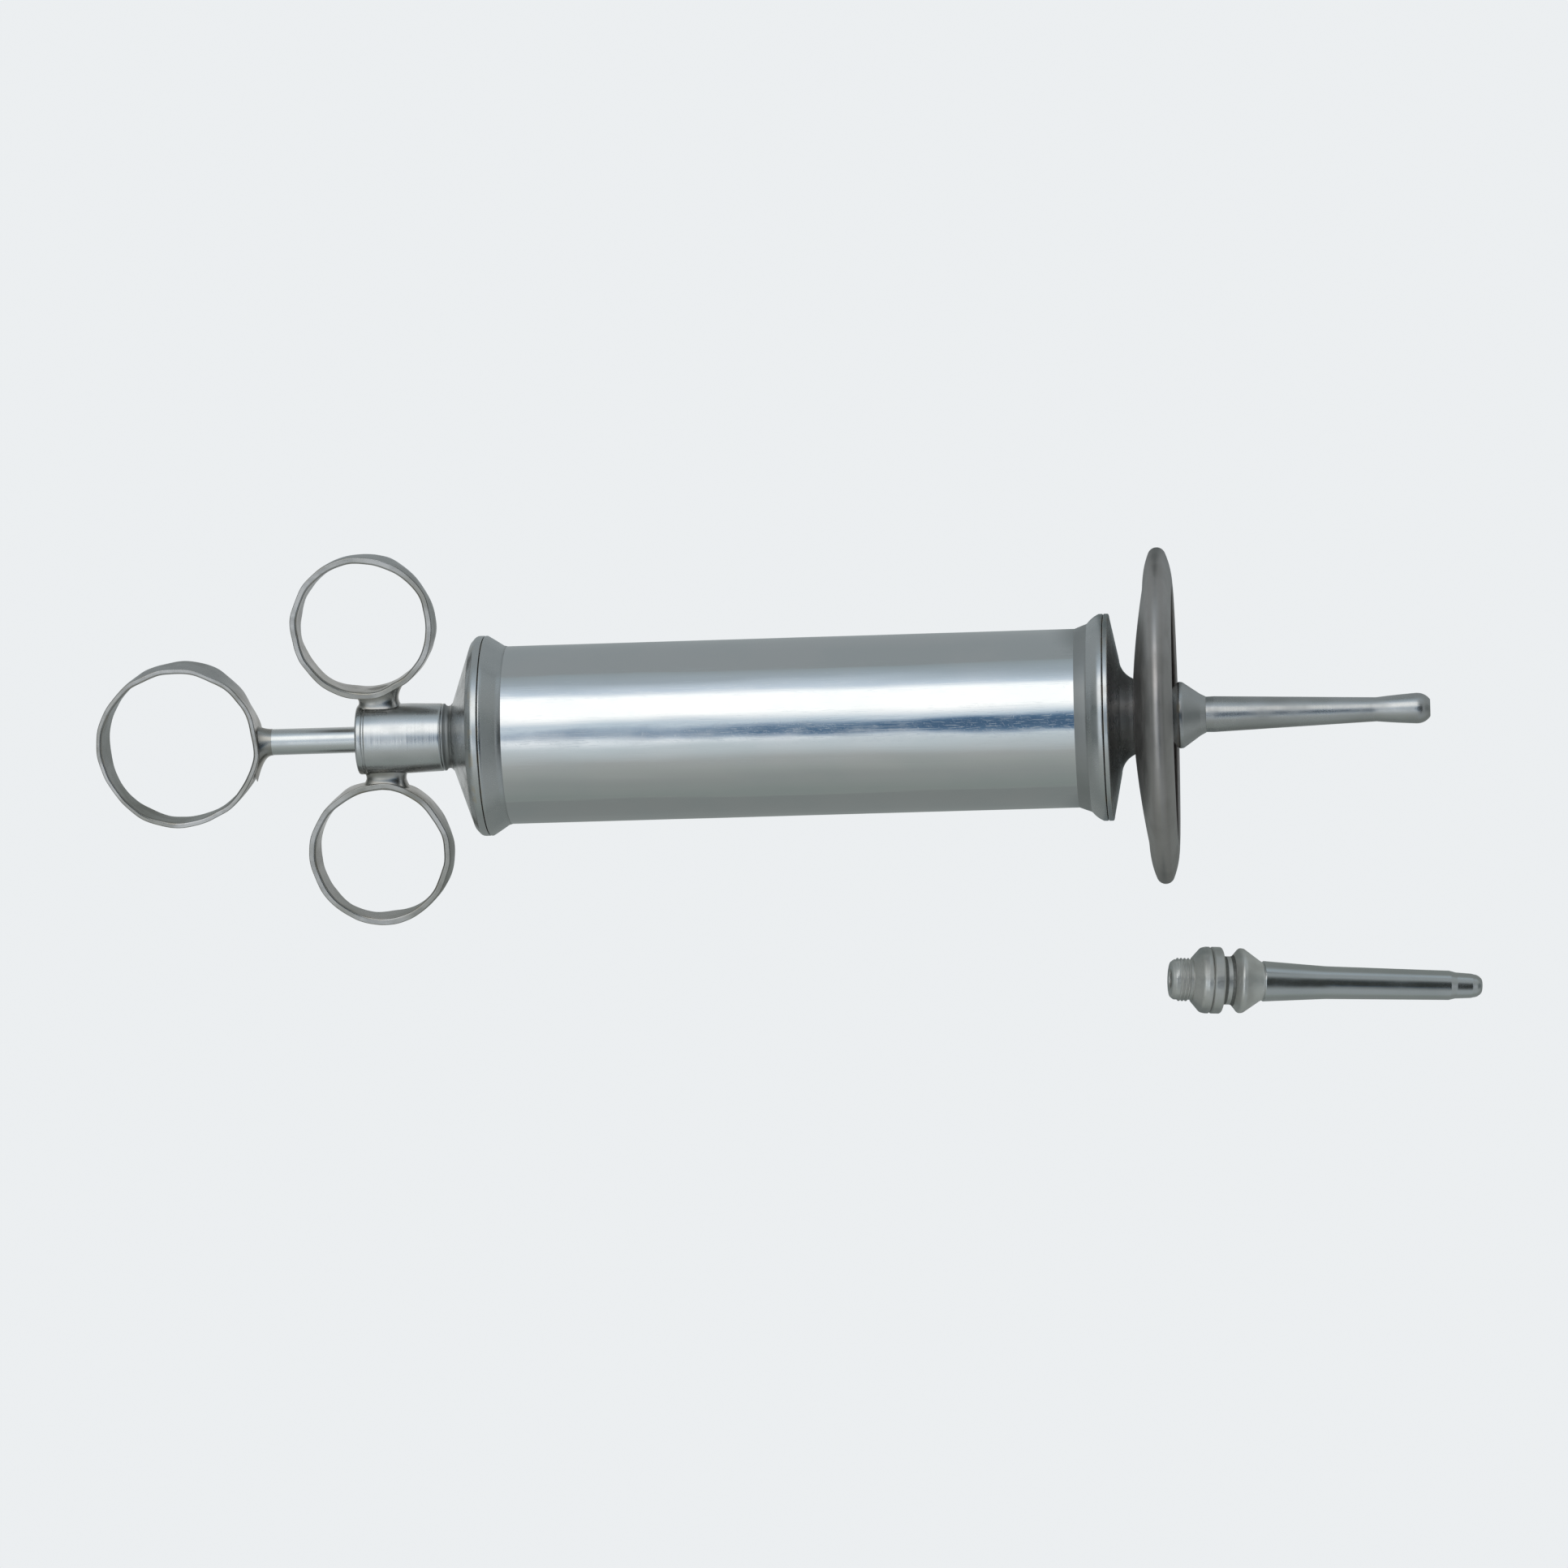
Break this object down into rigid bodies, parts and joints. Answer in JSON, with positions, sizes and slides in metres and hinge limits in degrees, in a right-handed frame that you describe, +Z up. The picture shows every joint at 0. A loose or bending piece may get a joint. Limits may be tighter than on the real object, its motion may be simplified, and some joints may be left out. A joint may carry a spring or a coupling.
{
  "type": "ear syringe",
  "caption": "Polished metal ear syringe lying on a table: finger rings, thumb ring, leather-packed plunger, dished splash shield and screw-on nozzle, with a loose spare nozzle.",
  "frame": {"origin": "middle of the footprint of the syringe and its spare nozzle, on the surface they lie on", "axes": "+Z up; +X the way the nozzle points, seen from above; the syringe's own axis climbs 5.64 degrees towards +X, because it rests on the rear cap's rim and the wider splash shield's rim; finger rings lie level, along Y"},
  "size_m": [0.2664, 0.0988, 0.0637],
  "materials": {
    "polished_plate": "polished nickel-chrome plate with fine handling scratches",
    "worn_plate": "dulled satin plate, worn by cleaning",
    "brass": "turned, unplated",
    "spring_steel": "plain",
    "leather": "greased tan leather"
  },
  "bodies": {
    "barrel": {"barrel_tube": "polished_plate", "rear_collar": "polished_plate", "front_collar": "polished_plate"},
    "rear_gasket": {"rear_gasket": "leather"},
    "rear_cap": {"rear_cap": "polished_plate", "guide_sleeve": "polished_plate", "gland_nut": "brass", "rod_packing": "leather", "finger_ring_left": "polished_plate", "finger_ring_right": "polished_plate", "ring_saddle_left": "polished_plate", "ring_saddle_right": "polished_plate"},
    "piston": {"piston_rear_disc": "brass", "piston_rear_cup": "leather", "piston_spacer": "brass", "piston_front_cup": "leather", "piston_front_disc": "brass"},
    "plunger": {"plunger_rod": "polished_plate", "thumb_ring": "polished_plate", "thumb_ring_ferrule": "polished_plate", "piston_shoulder": "brass", "piston_lock_washer": "spring_steel", "piston_nut": "brass"},
    "front_gasket": {"front_gasket": "leather"},
    "front_cap": {"front_cap": "polished_plate", "nozzle_washer": "leather"},
    "splash_shield": {"splash_shield": "worn_plate"},
    "nozzle": {"nozzle_base": "polished_plate", "nozzle_tube": "polished_plate"},
    "spare_nozzle": {"spare_nozzle_base": "worn_plate", "spare_nozzle_tube": "worn_plate"}
  },
  "joints": [
    {"name": "rear_cap_travel", "type": "slide", "parent": "barrel", "child": "rear_gasket", "axis": [-0.9952, 0, -0.0984], "range_m": [0, 0.005]},
    {"name": "rear_cap_turn", "type": "hinge", "parent": "rear_gasket", "child": "rear_cap", "pos_m": [-0.05858, 0.01372, 0.01915], "axis": [-0.9952, 0, -0.0984], "range_deg": [0, 1440]},
    {"name": "plunger_slide", "type": "slide", "parent": "barrel", "child": "piston", "axis": [-0.9952, 0, -0.0984], "range_m": [0, 0.092]},
    {"name": "plunger_turn", "type": "hinge", "parent": "piston", "child": "plunger", "pos_m": [-0.11739, 0.01372, 0.01334], "axis": [-0.9952, 0, -0.0984], "continuous": true},
    {"name": "front_cap_travel", "type": "slide", "parent": "barrel", "child": "front_gasket", "axis": [0.9952, 0, 0.0984], "range_m": [0, 0.005]},
    {"name": "front_cap_turn", "type": "hinge", "parent": "front_gasket", "child": "front_cap", "pos_m": [0.05994, 0.01372, 0.03087], "axis": [0.9952, 0, 0.0984], "range_deg": [0, 1440]},
    {"name": "shield_travel", "type": "slide", "parent": "front_cap", "child": "splash_shield", "axis": [0.9952, 0, 0.0984], "range_m": [0, 0.0042]},
    {"name": "nozzle_turn", "type": "hinge", "parent": "splash_shield", "child": "nozzle", "pos_m": [0.06557, 0.01372, 0.03142], "axis": [0.9952, 0, 0.0984], "range_deg": [0, 2160]},
    {"name": "spare_nozzle_lift", "type": "slide", "parent": "barrel", "child": "spare_nozzle", "axis": [0, 0, 1], "range_m": [0, 0.08]}
  ],
  "couplings": [
    {"joint": "rear_cap_turn", "follows": "rear_cap_travel", "rad_per_m": 5026.5},
    {"joint": "front_cap_turn", "follows": "front_cap_travel", "rad_per_m": 5026.5},
    {"joint": "nozzle_turn", "follows": "shield_travel", "rad_per_m": 8976}
  ]
}
